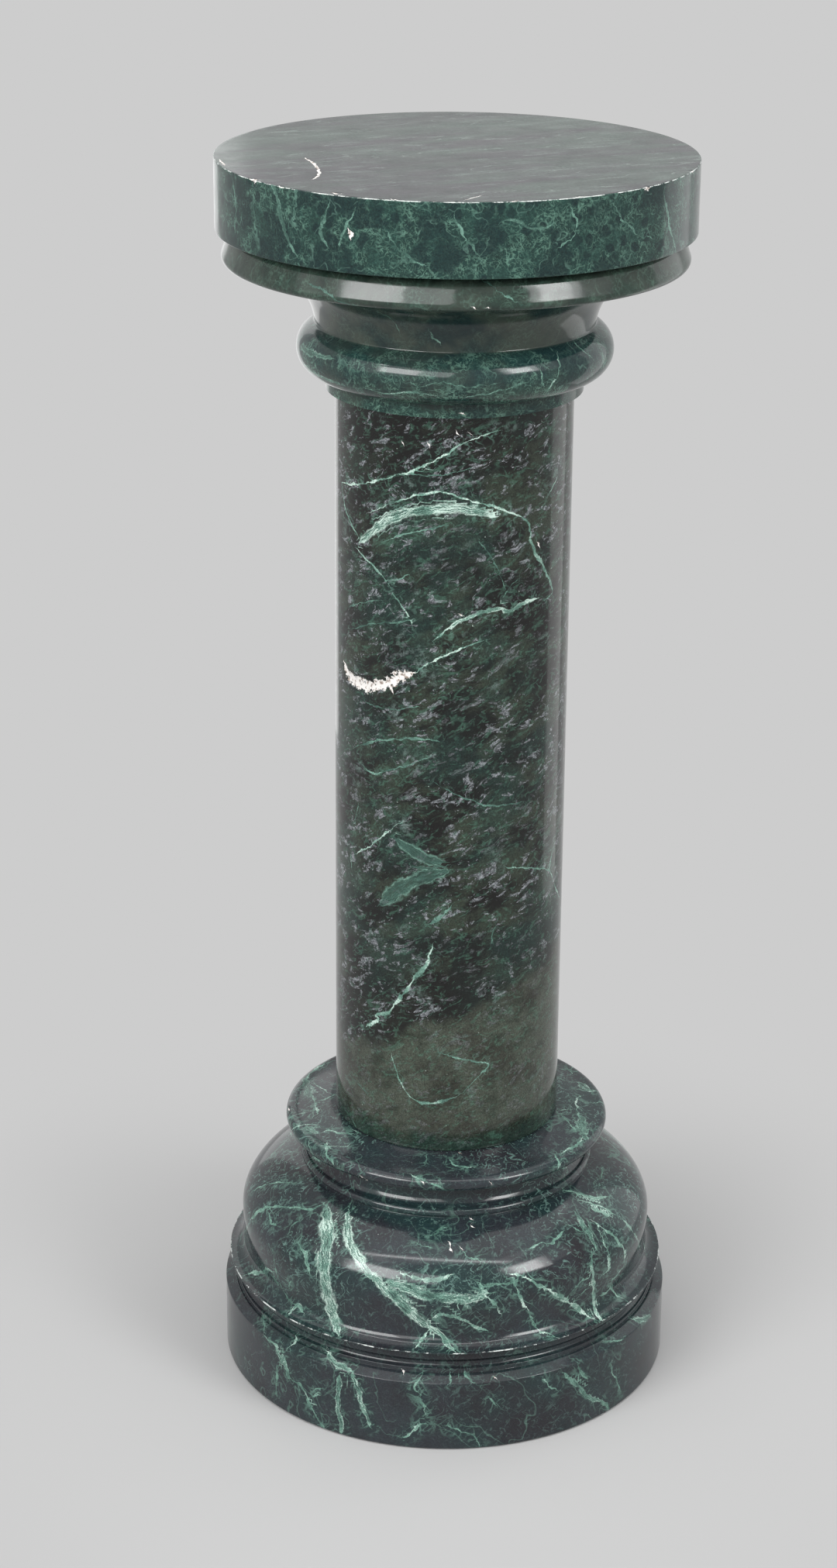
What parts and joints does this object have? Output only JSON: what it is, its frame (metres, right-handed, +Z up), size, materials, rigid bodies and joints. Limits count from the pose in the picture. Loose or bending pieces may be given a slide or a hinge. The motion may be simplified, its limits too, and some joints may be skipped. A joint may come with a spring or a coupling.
{
  "type": "pedestal column",
  "caption": "Turned green marble pedestal column with a thick round top, moulded capital, plain round shaft and bell-shaped moulded base",
  "frame": {"origin": "centre of the foot, on the floor", "axes": "+Z runs up the column's centre line; the column is round, so X and Y are any two level directions"},
  "size_m": [0.3679, 0.368, 1],
  "materials": {
    "top_marble": "polished green brecciated marble",
    "capital_marble": "polished dark green marble with fine green veins",
    "shaft_marble": "polished olive black marble with thin mint veins",
    "base_marble": "polished near-black green marble with pale green veins",
    "dowel_steel": "plain drawn steel rod"
  },
  "bodies": {
    "root": {"top_plate": "top_marble", "capital": "capital_marble", "shaft": "shaft_marble", "base": "base_marble", "lower_dowel": "dowel_steel", "upper_dowel": "dowel_steel"}
  },
  "joints": []
}
